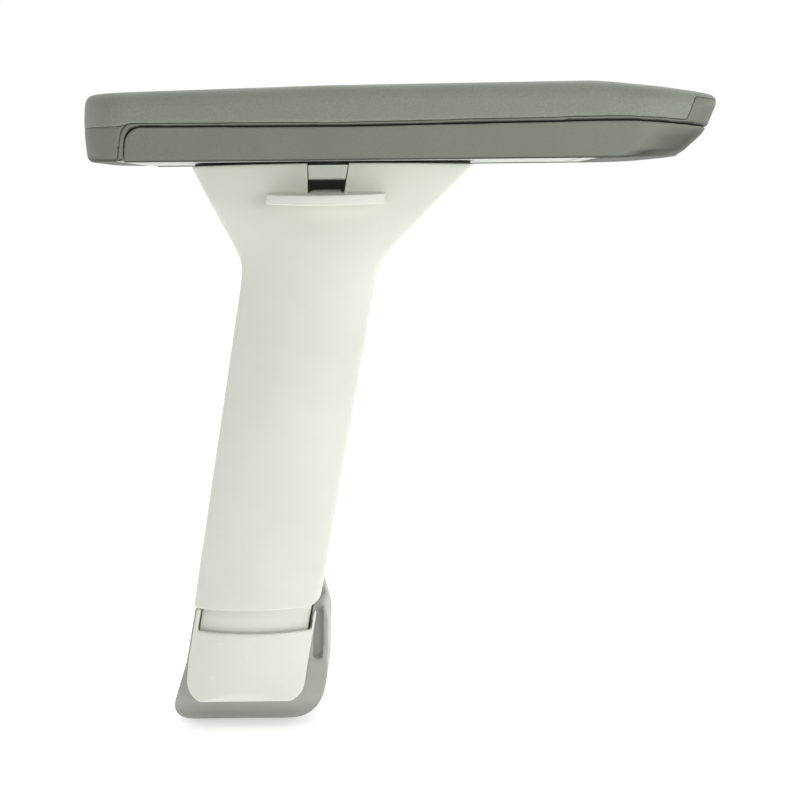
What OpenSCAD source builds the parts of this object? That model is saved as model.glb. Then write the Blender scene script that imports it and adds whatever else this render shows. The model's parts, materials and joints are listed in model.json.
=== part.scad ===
// Height-adjustable office chair armrest: soft pad on a sliding, swivelling base, a T-headed
// sleeve with a lift paddle, a locking column inside it and a J-shaped bracket for the seat.
//
// Row frame: the origin is the middle of the seat mounting face, on top of the bracket's arm.
// +X points to the front of the chair, +Z up, and the armrest stands at negative Y.

/* [Column] */
// Lean of the column towards the front, in degrees
lean = 10; // [6:0.5:12]
// Distance from the seat mounting holes to the column's middle plane
reach = 100; // [90:1:120]
// Width of the sliding sleeve, measured level, at its neck
sleeve_w = 56.4; // [54:0.1:58]
// Height of the sleeve's lower edge at the lowest setting
sleeve_bottom = 38.5; // [38.5:0.5:45]
// Height adjustment
lift_travel = 60; // [40:10:60]
// Distance between two height settings
lift_pitch = 10; // [10:1:10]

/* [Head] */
// Height of the head's top face
head_top = 225.5; // [225:0.5:230]
// Rear end of the head
head_rear = -16; // [-20:0.5:-12]
// Front end of the head
head_front = 101; // [96:0.5:106]
// Height of the sharp corners where the head runs into the sleeve
neck_z = 185.2; // [180:0.1:188]
// Width of the lift paddle
paddle_w = 48; // [40:0.5:52]

/* [Pad] */
// Rear end of the pad
pad_rear = -55; // [-60:0.5:-50]
// Front tip of the pad
pad_tip = 201; // [195:0.5:205]
// Width of the pad
pad_w = 84; // [80:1:90]
// Slide of the pad to front and rear
pad_slide = 25; // [15:1:25]

/* [Bracket] */
// Thickness of the bracket's arm
arm_t = 18; // [16:1:20]
// Width of the bracket's arm at its end
arm_w = 54; // [50:1:60]
// Distance from the mounting face's middle to the arm's end
arm_end = 44; // [40:1:60]
// Seat bolt hole radius
seat_hole_r = 4.25; // [3.25:0.05:4.5]
// Seat bolt spacing across the arm
seat_hole_x = 32; // [28:1:34]
// Seat bolt spacing along the arm
seat_hole_y = 56; // [40:1:60]

/* [Hidden] */
$fn = 64;

white = [0.87, 0.88, 0.85];
pad_grey = [0.52, 0.53, 0.49];
bracket_grey = [0.62, 0.63, 0.60];
plate_grey = [0.78, 0.79, 0.77];
black = [0.06, 0.06, 0.06];
steel = [0.70, 0.71, 0.72];

// Upright: the lens-shaped tube and its head, in the column's own frame
crown_y = -19;          // most forward line of the upright's outer face
back_y = 13;            // flat inner face of the upright
tube_face_r = 52;       // curvature of the tube's outer face
head_face_r = 240;      // curvature of the head's outer face
head_mid = 42;          // the head's crown line
face_low = 172;         // along the lean, where the face starts to flatten
face_high = 214;        // level from which the face has the head's curvature
wall = 2;               // wall of the sleeve
neck_r = 20;            // blend between head and tube
sleeve_taper = 0.6;     // how much narrower each half of the sleeve is at its lower edge
slot_x = [32.4, 46.6, 52.2]; // paddle slot: left side, right side below, right side above
slot_low = 209.8;
slot_high = 240;
boss_r = 3.2;           // bosses for the cap's screws
boss_hole_r = 1.7;
boss_low = 204;
spine_screw_x = [28, 54];
counterbore_z = 223.6;  // seat of the screw heads in the cap

// Inner column
column_half = 23.2;
column_front = -15.8;
column_back = 10.5;
column_face_r = 48;
column_wall = 3;
column_floor = -1;      // level foot of the column
column_top = 188;
window_w = 14;          // windows that the lock bolt enters
window_h = 6.4;
first_window = 102;     // along the lean, middle of the lowest window

// Bracket
boot_front = -8;        // front face of the boot, behind the cover
boot_back = 24;
boot_top = 44;          // top of the boot's back wall
boot_ledge = 36.4;      // top of its side walls, under the sleeve
bend_r = 15;            // outer bend from boot to arm
inner_bend_r = 12;
seat_grip = 8;          // thickness under a seat bolt's head
bolt_spots = [[-7, 14], [12, 14]];   // x, z of the bolts that hold the column
cover_top = 27.6;       // level top edge of the cover's front
foot_r = 8;             // rounding of the column's foot
counterbore_r = 8;      // room for a seat bolt's head
bolt_r = 4;             // shank of a column bolt
bolt_head_r = 6.4;
bolt_head_t = 4.8;
bolt_access_r = 6.9;    // hole in the column's front that the head goes in by
cover_wall = 1.9;
cover_low = -4.2;       // lowest edge of the cover

// Lock and lever
spine_half = 13;        // outer faces of the spine's cheeks
cheek_t = 1.5;
rod_y = 0.5;
rod_r = 2;
rod_top = 211.9;        // along the lean
push_y = 1;             // where the paddle's inner arm bears on the rod
lever_x = 40;
lever_pivot = [-11, 211.5];  // local y, z
neck_w = 12.6;
barrel_x = [26.7, 47.9];  // ends of the paddle's pivot barrel
paddle_tip_y = -31;
paddle_z = 213;         // middle of the paddle's plate where it leaves the slot
paddle_half_t = 2.1;
paddle_curve_r = 65;    // front edge of the plate, seen from above
paddle_tilt = 8;
pin_r = 1.5;            // lever pin
spine_low = 92;         // along the lean
spine_front = -10.3;
shelf_zs = [92, 109, 152];  // cross plates that tie the spine's cheeks
collar_z = 172;         // along the lean, underside of the rod's collar
collar_t = 3;
wire_r = 0.45;          // return spring
coil_r = 3.3;

// Stack between head and pad
stud_x = 41;
deck_y = -3;            // middle plane of head and pad
stud_r = 5;
cap_t = 3;
glide_top = head_top + 1.1;
pad_z = head_top + 1.5; // underside of the pad
base_t = 3;
base_rear = -41;
base_front = 150;
hollow_half = 36.5;     // half width of the hollow under the tray's deck
slot_half = 8;
guide_l = 26;
flange_l = 40;
carriage_z = pad_z + base_t + 0.2;
tray_deck = 239.8;      // underside of the tray's deck
seam_z = 242.1;         // seam between tray and cushion
groove_z = 240.6;       // groove between skirt and tray
skirt_rear = -38;
skirt_t = 2.4;

// ---------- helpers ----------

function unit(v) = v / norm(v);

// One corner of an outline: p[2] is its radius
function corner(a, p, b, n) =
  let (
    o = [p.x, p.y],
    ua = unit([a.x, a.y] - o),
    ub = unit([b.x, b.y] - o),
    half = acos(ua * ub) / 2,
    run = p.z / tan(half),
    c = o + unit(ua + ub) * p.z / sin(half),
    s = o + ua * run - c,
    e = o + ub * run - c,
    from = atan2(s.y, s.x),
    turn = ((atan2(e.y, e.x) - from + 540) % 360) - 180
  )
  p.z == 0 ? [o] : [for (i = [0:n]) c + p.z * [cos(from + turn * i / n), sin(from + turn * i / n)]];

// A closed outline from [x, y, radius] corners
function rounded(pts, n = 8) =
  let (k = len(pts))
  [for (i = [0:k - 1]) each corner(pts[(i + k - 1) % k], pts[i], pts[(i + 1) % k], n)];

// Prism of a front-view (x, z) outline between two local y planes
module front_prism(y0, y1) translate([0, y1 - reach, 0]) rotate([90, 0, 0])
  linear_extrude(y1 - y0) children();

// Prism of a side-view (local y, z) outline between two x planes
module side_prism(x0, x1) translate([x0, -reach, 0]) rotate([90, 0, 90])
  linear_extrude(x1 - x0) children();

// Local frame at the column's middle plane
module local() translate([0, -reach, 0]) children();

// Column frame: +Z along the lean
module on_axis() local() rotate([0, lean, 0]) children();

module slab(lo, hi) translate(lo) cube(hi - lo);

// Round bar along X, between two x values, at local y, z
module x_bar(x0, x1, at, r) translate([x0, at.x, at.y]) rotate([0, 90, 0])
  cylinder(r = r, h = x1 - x0);

// Round bar along Y
module y_bar(y0, y1, at, r) translate([at.x, y0, at.y]) rotate([-90, 0, 0])
  cylinder(r = r, h = y1 - y0);

// Pan-head screw along -Z with its head's top at the origin
module pan_screw(shank_r, length, head_r, head_t) {
  translate([0, 0, -head_t]) cylinder(r = head_r, h = head_t);
  translate([0, 0, -head_t - length]) cylinder(r = shank_r, h = length + 0.01);
}

// ---------- bracket ----------

boot_outline = rounded([[32.2, -arm_t, 22], [36.4, 6, 20], [37.4, 30, 14],
                        [34, boot_top, 5], [-18, boot_top, 5], [-20.6, boot_ledge, 6],
                        [-25.2, 12, 30], [-34.8, -arm_t, 9.5]], 16);

module j_outline() polygon(rounded([
  [boot_front, -arm_t, bend_r], [reach + arm_end, -arm_t, 2], [reach + arm_end, 0, 1],
  [boot_back, 0, inner_bend_r], [boot_back, boot_top, 5], [back_y + 0.6, boot_top, 2],
  [back_y + 0.6, boot_ledge, 0], [boot_front, boot_ledge, 1.5]], 20));

module arm_plan() polygon(rounded([
  [-28, 10 - reach, 0], [-arm_w / 2, 60 - reach, 40], [-arm_w / 2, arm_end, 12],
  [arm_w / 2, arm_end, 12], [arm_w / 2, 60 - reach, 40], [30, 10 - reach, 0]]));

// Front view of the column with its rounded foot, grown by a clearance
module column_side(grow) front_prism(-60, 60) polygon(rounded([
  for (z = [column_floor - grow, 230], side = z > 100 ? [1, -1] : [-1, 1])
    [z * tan(lean) + side * (column_half + grow + 0.05) / cos(lean), z, z > 100 ? 0 : foot_r]], 16));

module column_channel() intersection() {
  on_axis() slab([-column_half - 1, column_front - 1, -20], [column_half + 1, column_back + 0.3, 70]);
  column_side(0.3);
}

module seat_holes(r, z0, z1) for (x = [-1, 1] * seat_hole_x / 2, y = [-1, 1] * seat_hole_y / 2)
  translate([x, y, z0]) cylinder(r = r, h = z1 - z0);

module seat_bracket() color(bracket_grey) difference() {
  intersection() {
    side_prism(-50, 60) j_outline();
    union() {
      front_prism(boot_front - 1, boot_back + 1) polygon(boot_outline);
      intersection() {
        translate([0, 0, -arm_t - 1]) linear_extrude(arm_t + 1.5) arm_plan();
        front_prism(0, reach + arm_end + 1) polygon(boot_outline);
      }
      // inner bend from the arm to the boot
      local() slab([-20, boot_back - 1, -1], [28, boot_back + inner_bend_r + 2, inner_bend_r + 3]);
    }
  }
  column_channel();
  // relief beside the cover, open at the top
  front_prism(boot_front - 1, boot_front + 4) polygon(rounded([
    [30.2, 12.8, 1.8], [34.2, 12.8, 1.8], [35.4, 50, 0], [32.6, 50, 0]]));
  // pocket for the cover's tongue and its catch
  local() slab([-7, boot_front - 1, -4.3], [9, 5, 2]);
  local() slab([-7, 2, -5.2], [9, 5, -4]);
  for (p = bolt_spots) local() y_bar(0, 40, p, bolt_r + 0.1);
  seat_holes(seat_hole_r, -arm_t - 1, 1);
  seat_holes(counterbore_r, -arm_t - 1, -seat_grip);
}

// Front view of the cover: rounded below, its two side walls rise beside the column
cover_outline = rounded([[-25.2, cover_low, 9], [25.4, cover_low, 9], [28, 12, 80], [32.4, 35.4, 0.8],
                         [-19.2, 37.2, 0.8], [-24, 12, 80]], 16);

module cover_body(inset) intersection() {
  front_prism(crown_y, boot_front + 0.01) offset(delta = -inset) polygon(cover_outline);
  on_axis() translate([0, crown_y + 0.5 + tube_face_r, -40])
    cylinder(r = tube_face_r - inset, h = 120, $fn = 128);
  side_prism(-40, 50) offset(delta = -inset) polygon(rounded([
    [crown_y + 0.5, cover_low, 7], [boot_front + 5, cover_low, 0],
    [boot_front + 5, 60, 0], [crown_y + 0.5, 60, 0]]));
}

module bracket_cover() color(white) {
  difference() {
    cover_body(0);
    translate([0, 0.1, 0]) cover_body(cover_wall);
    // room for the column, which comes out over the cover's level front edge
    intersection() {
      on_axis() translate([0, 0, -20]) linear_extrude(100)
        column_section(column_half + 0.4, column_front - 0.4, 5, column_face_r);
      column_side(0.35);
    }
    front_prism(-30, 0) polygon([for (z = [cover_top, 60], side = z > 50 ? [1, -1] : [-1, 1])
      [z * tan(lean) + side * (column_half + (side > 0 ? 1.4 : 0.4)) / cos(lean), z]]);
  }
  // tongue that snaps in under the column's foot
  local() slab([-6.6, -12, -3.9], [8.6, 4.5, -1.8]);
  local() slab([-6.6, 2.4, -4.8], [8.6, 4.5, -3]);
}

// ---------- column ----------

module column_section(half, front, back, face_r) intersection() {
  translate([-half, front]) square([2 * half, back - front]);
  translate([0, front + face_r]) circle(r = face_r, $fn = 128);
}

module inner_column() color(white) difference() {
  on_axis() difference() {
    translate([0, 0, -10]) linear_extrude(column_top + 10)
      column_section(column_half, column_front, column_back, column_face_r);
    translate([0, 0, 6]) linear_extrude(column_top)
      column_section(column_half - column_wall, column_front + column_wall,
                     column_back - column_wall, column_face_r - column_wall);
    for (i = [0:lift_travel / lift_pitch]) translate([0, 0, first_window + i * lift_pitch])
      slab([-window_w / 2, 0, -window_h / 2], [window_w / 2, 20, window_h / 2]);
  }
  for (p = bolt_spots) local() {
    y_bar(0, 20, p, bolt_r + 0.2);
    y_bar(-30, -5, p, bolt_access_r);
  }
  difference() {
    local() slab([-60, -60, -60], [60, 60, 30]);
    column_side(0);
  }
}

module column_bolts() color(steel) for (p = bolt_spots) local() {
  inside = column_back - column_wall;
  y_bar(inside - bolt_head_t, inside - 0.02, p, bolt_head_r);
  y_bar(inside - 0.1, boot_back - 3, p, bolt_r);
}

module column_cap() color(black) on_axis() difference() {
  translate([0, 0, column_top - 4]) linear_extrude(10)
    column_section(column_half + 1, column_front - 0.5, column_back + 0.2, column_face_r);
  translate([0, 0, column_top - 5]) linear_extrude(5.02)
    column_section(column_half + 0.02, column_front - 0.02, column_back + 0.02, column_face_r);
  translate([0, 0, column_top - 5]) linear_extrude(20)
    column_section(column_half - column_wall, column_front + column_wall,
                   column_back - column_wall, column_face_r - column_wall);
}

// ---------- upright ----------

neck_half = sleeve_w / 2;
foot_half = neck_half - sleeve_taper;

// Front-view outline; its four ends can be run on past the head and the lower edge
function run_on(a, b, more) = b + unit(b - a) * more;

function upright_outline(more) = let (
    neck_l = [neck_z * tan(lean) - neck_half, neck_z],
    neck_r_end = [neck_z * tan(lean) + neck_half, neck_z],
    foot_l = [sleeve_bottom * tan(lean) - foot_half, sleeve_bottom],
    foot_r = [sleeve_bottom * tan(lean) + foot_half, sleeve_bottom],
    sharp = more > 0,
    top_l = run_on(neck_l, [head_rear, head_top], more),
    top_r = run_on(neck_r_end, [head_front, head_top], more),
    low_l = run_on(neck_l, foot_l, more),
    low_r = run_on(neck_r_end, foot_r, more)
  )
  rounded([[top_l.x, top_l.y, sharp ? 0 : 0.6], [neck_l.x, neck_l.y, neck_r],
           [low_l.x, low_l.y, sharp ? 0 : 1.2], [low_r.x, low_r.y, sharp ? 0 : 5],
           [neck_r_end.x, neck_r_end.y, neck_r], [top_r.x, top_r.y, sharp ? 0 : 0.5]]);

// Outer face: the round tube below, the flatter head above, blended between them.
// The blend's two ends stand a hair off both faces so that the three fuse cleanly.
hair = 0.1;

module tube_face(inset) on_axis() translate([0, crown_y + tube_face_r, -20])
  cylinder(r = tube_face_r - inset, h = 20 + face_low + hair, $fn = 192);

module head_face(inset) local() translate([head_mid, crown_y + head_face_r, face_high - hair])
  cylinder(r = head_face_r - inset, h = 40, $fn = 256);

module face_blend(inset) hull() {
  on_axis() translate([0, 0, face_low]) linear_extrude(2 * hair) intersection() {
    translate([0, crown_y + tube_face_r]) circle(r = tube_face_r - inset + hair, $fn = 96);
    translate([-40, crown_y - hair]) square([80, back_y + 2 - crown_y]);
  }
  local() translate([0, 0, face_high - 2 * hair]) linear_extrude(2 * hair) intersection() {
    translate([head_mid, crown_y + head_face_r]) circle(r = head_face_r - inset - hair, $fn = 256);
    translate([-30, crown_y]) square([150, back_y + 2 - crown_y]);
  }
}

// The upright's outer form, or with an inset the form of the hollow inside it
module upright_form(inset, z0, z1) intersection() {
  front_prism(crown_y - 1, back_y - inset) offset(delta = -inset)
    polygon(upright_outline(inset > 0 ? 12 : 0));
  union() {
    tube_face(inset);
    face_blend(inset);
    head_face(inset);
  }
  local() slab([-60, -60, z0], [160, 60, z1]);
}

boss_spots = [[8, -9], [8, 4], [70, -9], [70, 4]];

module upright_sleeve() color(white) {
  difference() {
    upright_form(0, 0, head_top);
    upright_form(wall, -10, head_top + 5);
    // slot for the paddle's neck, open at the top
    front_prism(-30, -10) polygon([[slot_x[0], slot_high], [slot_x[0], slot_low],
                                   [slot_x[1], slot_low], [slot_x[2], slot_high]]);
  }
  // bosses for the cap's screws, each on a rib to the nearer wall
  for (p = boss_spots) difference() {
    intersection() {
      local() union() {
        translate([p.x, p.y, boss_low]) cylinder(r = boss_r, h = head_top - cap_t - boss_low - 0.1);
        slab([p.x - 1, p.y < 0 ? crown_y : p.y, boss_low],
             [p.x + 1, p.y < 0 ? p.y : back_y, head_top - cap_t - 0.1]);
      }
      upright_form(1, 0, head_top);
    }
    local() translate([p.x, p.y, boss_low + 4]) cylinder(r = boss_hole_r, h = 20);
  }
}

module lower_glide_ring() color(black) difference() {
  upright_form(wall + 0.05, sleeve_bottom + 3, sleeve_bottom + 21);
  on_axis() translate([0, 0, 20]) linear_extrude(60)
    column_section(column_half + 0.15, column_front - 0.15, column_back + 0.15, column_face_r);
}

module head_cap() color(white) {
  difference() {
    upright_form(wall + 0.15, head_top - cap_t, head_top - 0.02);
    local() translate([stud_x, deck_y, 200]) cylinder(r = stud_r + 0.3, h = 50);
    for (p = boss_spots) local() translate([p.x, p.y, 0]) {
      translate([0, 0, 200]) cylinder(r = 1.9, h = 50);
      translate([0, 0, counterbore_z]) cylinder(r = 3.6, h = 10);
    }
    for (x = spine_screw_x) local() translate([x, deck_y, 0]) {
      translate([0, 0, 200]) cylinder(r = 2.1, h = 50);
      translate([0, 0, counterbore_z]) cylinder(r = 3.8, h = 10);
    }
  }
  // tab that closes the upper part of the paddle's slot
  front_prism(crown_y + 0.3, crown_y + 3.2)
    polygon([[32.8, 219.9], [48.1, 219.9], [49.1, head_top - 0.02], [32.8, head_top - 0.02]]);
}

module cap_screws() color(steel) for (p = boss_spots) local()
  translate([p.x, p.y, head_top - 0.1]) pan_screw(1.6, 12, 3.3, 1.75);

// ---------- lock ----------

// Steel channel that hangs from the head's top plate inside the column
module lock_spine() color(steel) {
  plate_top = head_top - cap_t - 0.02;
  difference() {
    union() {
      on_axis() {
        for (x = [-spine_half, spine_half - cheek_t]) {
          slab([x, spine_front, spine_low], [x + cheek_t, 5.5, 228]);
          slab([x, -14.5, 207], [x + cheek_t, -10, 228]);
        }
        slab([-spine_half + 1, spine_front, spine_low], [spine_half - 1, spine_front + cheek_t, 196]);
        for (z = shelf_zs) slab([-spine_half + 1, -9.5, z], [spine_half - 1, 5, z + cheek_t]);
      }
      local() slab([18, -14, plate_top - 3], [64, 5, plate_top + 1]);
    }
    local() slab([-10, -30, plate_top], [90, 30, 260]);
    on_axis() translate([0, rod_y, 100]) cylinder(r = rod_r + 0.3, h = 80);
    local() translate([stud_x, deck_y, 200]) cylinder(r = 4.02, h = 50);
    for (x = spine_screw_x) local() translate([x, deck_y, 200]) cylinder(r = 1.9, h = 50);
    local() x_bar(10, 70, lever_pivot, pin_r + 0.05);
  }
}

module spine_screws() color(steel) for (x = spine_screw_x) local()
  translate([x, deck_y, head_top - 0.1]) pan_screw(1.85, 3.9, 3.5, 1.75);

module lever_pin() color(steel) local() x_bar(23.2, 51.8, lever_pivot, pin_r);

// Paddle: a tilted crescent plate, its neck, the pivot barrel and the arm that pushes the rod
module height_paddle() color(white) local() difference() {
  union() {
    translate([lever_x, -17, paddle_z]) rotate([paddle_tilt, 0, 0]) {
      intersection() {
        slab([-paddle_w / 2, paddle_tip_y + 16, -paddle_half_t], [paddle_w / 2, -4.4, paddle_half_t]);
        translate([0, paddle_tip_y + 17 + paddle_curve_r, -3])
          cylinder(r = paddle_curve_r, h = 6, $fn = 128);
      }
      slab([-neck_w / 2, -5, -2], [neck_w / 2, 6, 2]);
    }
    x_bar(barrel_x.x, barrel_x.y, lever_pivot, 3.4);
    slab([lever_x - neck_w / 2, lever_pivot.x, lever_pivot.y - 2.2],
         [lever_x + neck_w / 2, push_y, lever_pivot.y + 1.8]);
    x_bar(lever_x - neck_w / 2, lever_x + neck_w / 2, [push_y, lever_pivot.y - 0.2], 2);
  }
  x_bar(lever_x - 20, lever_x + 20, lever_pivot, pin_r + 0.05);
}

// Bar at 45 degrees that falls towards the back, around the rod's foot
module wedge(half_l, half_t, half_w) rotate([90, 0, 90]) translate([0, 0, -half_w])
  linear_extrude(2 * half_w) translate([rod_y, first_window]) rotate(-45)
    square([2 * half_l, 2 * half_t], center = true);

module release_rod() color(steel) on_axis() {
  translate([0, rod_y, first_window]) cylinder(r = rod_r, h = rod_top - first_window);
  wedge(5.5, 1.5, 3);
}

module rod_collar() color(black) on_axis() translate([0, rod_y, collar_z]) difference() {
  cylinder(r = 4.4, h = collar_t);
  translate([0, 0, -1]) cylinder(r = rod_r + 0.01, h = 5);
}

// Coil spring around the rod, between the spine's middle shelf and the collar
module return_spring() color(steel) {
  turns = 6;
  rings = 16 * turns;
  sides = 6;
  low = shelf_zs[2] + cheek_t + wire_r + 0.05;
  high = collar_z - wire_r - 0.35;
  points = [for (i = [0:rings], k = [0:sides - 1])
    let (a = 360 * turns * i / rings, r = coil_r + wire_r * cos(360 * k / sides))
    [r * cos(a), r * sin(a), low + (high - low) * i / rings + wire_r * sin(360 * k / sides)]];
  faces = [for (i = [0:rings - 1], k = [0:sides - 1])
    let (a = i * sides + k, b = i * sides + (k + 1) % sides)
    each [[a, a + sides, b], [b, a + sides, b + sides]]];
  ends = [[for (k = [0:sides - 1]) k], [for (k = [0:sides - 1]) rings * sides + sides - 1 - k]];
  on_axis() translate([0, rod_y, 0]) polyhedron(points, concat(faces, ends));
}

// Bolt that slides out of the spine into a window of the column's back wall
module lock_bolt() color(steel) on_axis() difference() {
  union() {
    slab([-spine_half + cheek_t + 0.2, -5.5, first_window - 8.2],
         [spine_half - cheek_t - 0.2, 7, first_window + 6.7]);
    slab([-6, 6, first_window - 2.5], [6, 9.9, first_window + 2.5]);
  }
  slab([-2.6, rod_y - 2.4, first_window - 3.3], [2.6, rod_y + 5.4, first_window + 20]);
  wedge(9.6, 1.8, 3.3);
}

// ---------- swivel and slide ----------

module pivot_stud() color(steel) local() translate([stud_x, deck_y, 0]) {
  translate([0, 0, head_top - cap_t - 3]) cylinder(r = 4, h = 3);
  translate([0, 0, head_top - cap_t]) cylinder(r = stud_r, h = pad_z + 8 - head_top + cap_t);
  translate([0, 0, pad_z + 7]) cylinder(r = 3, h = 4.6);
}

module pivot_nut() color(steel) local() translate([stud_x, deck_y, pad_z + 8]) difference() {
  cylinder(r = 7.5, h = 3.6, $fn = 6);
  translate([0, 0, -1]) cylinder(r = 3.02, h = 10);
}

module glide_plate() color(black) difference() {
  local() translate([0, 0, head_top]) linear_extrude(glide_top - head_top) intersection() {
    polygon(rounded([[head_rear + 1.5, crown_y, 4], [head_front - 1.5, crown_y, 4],
                     [head_front - 1.5, back_y - 1, 4], [head_rear + 1.5, back_y - 1, 4]]));
    translate([head_mid, crown_y + head_face_r]) circle(r = head_face_r - 2.2, $fn = 256);
  }
  local() translate([stud_x, deck_y, 200]) cylinder(r = stud_r + 0.3, h = 50);
}

module slide_carriage() color(black) local() translate([stud_x, deck_y, 0]) difference() {
  union() {
    slab([-guide_l / 2, -slot_half + 0.2, pad_z + 0.1], [guide_l / 2, slot_half - 0.2, carriage_z + 1]);
    slab([-flange_l / 2, -20, carriage_z], [flange_l / 2, 20, carriage_z + 3.2]);
  }
  translate([0, 0, 200]) cylinder(r = stud_r + 0.05, h = 60);
}

module friction_washer() color(steel) local() translate([stud_x, deck_y, carriage_z + 3.3]) difference() {
  cylinder(r = 10, h = 1.3);
  translate([0, 0, -1]) cylinder(r = stud_r + 0.05, h = 5);
}

// ---------- pad ----------

plan_half = pad_w / 2;

pad_plan = rounded([[pad_rear, -plan_half + 1.5, 20], [60, -plan_half - 0.6, 300],
                    [pad_tip - 26, -plan_half + 2, 34], [pad_tip + 0.5, -24, 24], [pad_tip + 0.5, 24, 24],
                    [pad_tip - 26, plan_half - 2, 34], [60, plan_half + 0.6, 300],
                    [pad_rear, plan_half - 1.5, 20]]);

pad_profile = rounded([[pad_rear + 1.6, pad_z, 4.5], [pad_rear - 0.2, 241, 60],
                       [pad_rear + 1.2, 253, 3.5], [40, 255.8, 400], [146, 257, 110],
                       [pad_tip - 3.6, 252.8, 4], [pad_tip + 0.3, 248.6, 2.5], [192.2, 237.4, 8],
                       [183.2, 228.2, 6], [165, pad_z, 40]]);

pad_section = rounded([[-plan_half + 0.6, pad_z, 2.5], [-plan_half - 0.8, 243, 60],
                       [-plan_half + 0.2, 257.2, 8], [plan_half - 0.2, 257.2, 8],
                       [plan_half + 0.8, 243, 60], [plan_half - 0.6, pad_z, 2.5]]);

// The pad's outer form, or with an inset the form inside it
module pad_form(inset) intersection() {
  local() translate([0, deck_y, 200]) linear_extrude(70) offset(delta = -inset) polygon(pad_plan);
  front_prism(-80, 80) offset(delta = -inset) polygon(pad_profile);
  side_prism(pad_rear - 10, pad_tip + 10) translate([deck_y, 0]) offset(delta = -inset)
    polygon(pad_section);
}

// Front-view regions that share the form out between cushion, tray and skirt
cushion_region = [[pad_rear - 5, 270], [pad_rear - 5, 241.4], [-42, 241.4], [-36, seam_z],
                  [184.5, seam_z], [188.6, 250.4], [210, 250.8], [210, 270]];
skirt_region = rounded([[skirt_rear, 220, 0], [skirt_rear + 1.6, groove_z, 8],
                        [150, groove_z + 0.4, 200], [212, groove_z - 4.6, 0], [212, 220, 0]]);

module pad_cushion() color(pad_grey) difference() {
  intersection() {
    pad_form(0);
    front_prism(-80, 80) polygon(cushion_region);
  }
  local() slab([-41.3, deck_y - 30.3, 240], [166.3, deck_y + 30.3, seam_z + 3.3]);
}

module pad_insert() color(black) local() difference() {
  slab([-41, deck_y - 30, seam_z + 0.1], [166, deck_y + 30, seam_z + 3]);
  for (p = pad_screw_spots) translate([p.x, deck_y + p.y, 200]) cylinder(r = 1.9, h = 60);
}

rail_screw_x = [-6, 90];
pad_screw_spots = [[-31, -9], [-31, 9], [140, -28], [140, 28]];

module pad_tray() color(pad_grey) {
  difference() {
    intersection() {
      pad_form(0);
      front_prism(-80, 80) difference() {
        translate([pad_rear - 10, 215]) square([290, 40]);
        offset(delta = 0.08) polygon(cushion_region);
      }
    }
    // room for the skirt all round
    difference() {
      front_prism(-80, 80) polygon(skirt_region);
      pad_form(skirt_t + 0.1);
    }
    // hollow under the deck, open below for the base plate
    intersection() {
      pad_form(skirt_t + 2.6);
      local() slab([pad_rear, -80, pad_z + 2.4], [pad_tip, 80, tray_deck]);
    }
    local() slab([base_rear + 3, deck_y - hollow_half, 200],
                 [base_front - 3, deck_y + hollow_half, tray_deck]);
    // seat of the base plate
    intersection() {
      plan_prism(skirt_t + 0.1, base_front + 0.2, 200, pad_z + base_t + 0.2);
      local() slab([base_rear - 0.2, -80, 190], [base_front + 0.2, 80, 260]);
    }
    for (p = pad_screw_spots) local() translate([p.x, deck_y + p.y, 200]) cylinder(r = 1.9, h = 60);
  }
  for (p = pad_screw_spots) local() translate([p.x, deck_y + p.y, 0]) difference() {
    translate([0, 0, pad_z + base_t + 0.1]) cylinder(r = 4, h = tray_deck - pad_z - base_t);
    translate([0, 0, 200]) cylinder(r = 1.9, h = 60);
  }
}

// The pad's plan, inset, between two heights and back of a front limit
module plan_prism(inset, x1, z0, z1) intersection() {
  local() translate([0, deck_y, z0]) linear_extrude(z1 - z0) offset(delta = -inset) polygon(pad_plan);
  local() slab([pad_rear - 1, -80, z0 - 1], [x1, 80, z1 + 1]);
}

module pad_skirt() color(pad_grey) difference() {
  intersection() {
    pad_form(0.35);
    front_prism(-80, 80) offset(delta = -0.35) polygon(skirt_region);
  }
  pad_form(skirt_t);
  plan_prism(skirt_t, base_front + 0.5, pad_z - 5, pad_z + 6);
}

module pad_base() color(plate_grey) difference() {
  intersection() {
    plan_prism(skirt_t + 0.3, base_front, pad_z, pad_z + base_t);
    local() slab([base_rear, -80, 200], [base_front, 80, 260]);
  }
  local() translate([stud_x, deck_y, 200]) slab([-guide_l / 2 - pad_slide - 0.5, -slot_half, 0],
                                                [guide_l / 2 + pad_slide + 0.5, slot_half, 60]);
  for (p = pad_screw_spots) local() translate([p.x, deck_y + p.y, 200]) {
    cylinder(r = 2.1, h = 60);
    cylinder(r = 3.9, h = pad_z + 1.6 - 200);
  }
  for (x = rail_screw_x, s = [-1, 1]) local() translate([x, deck_y + s * 23, 200]) {
    cylinder(r = 1.7, h = 60);
    cylinder(r = 3.2, h = pad_z + 1.5 - 200);
  }
}

module slide_rails() color(black) for (s = [-1, 1]) local() difference() {
  slab([-12, deck_y + (s > 0 ? 20.3 : -26), pad_z + base_t + 0.02],
       [96, deck_y + (s > 0 ? 26 : -20.3), pad_z + base_t + 5]);
  for (x = rail_screw_x) translate([x, deck_y + s * 23, 200]) cylinder(r = 1.4, h = 60);
}

module rail_screws() color(steel) for (x = rail_screw_x, s = [-1, 1]) local()
  translate([x, deck_y + s * 23, pad_z + 0.1]) rotate([180, 0, 0]) pan_screw(1.35, 5, 2.9, 1.35);

module slide_bumpers() color(black) for (s = [-1, 1]) local() let (run = flange_l / 2 + pad_slide + 0.4)
  translate([stud_x + s * run, deck_y, 0])
    slab([s > 0 ? 0 : -4, -12, pad_z + base_t + 0.02], [s > 0 ? 4 : 0, 12, pad_z + base_t + 4.5]);

module pad_screws() color(steel) for (p = pad_screw_spots) local()
  translate([p.x, deck_y + p.y, pad_z + 0.1]) rotate([180, 0, 0]) pan_screw(1.8, 13, 3.6, 1.4);

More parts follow.
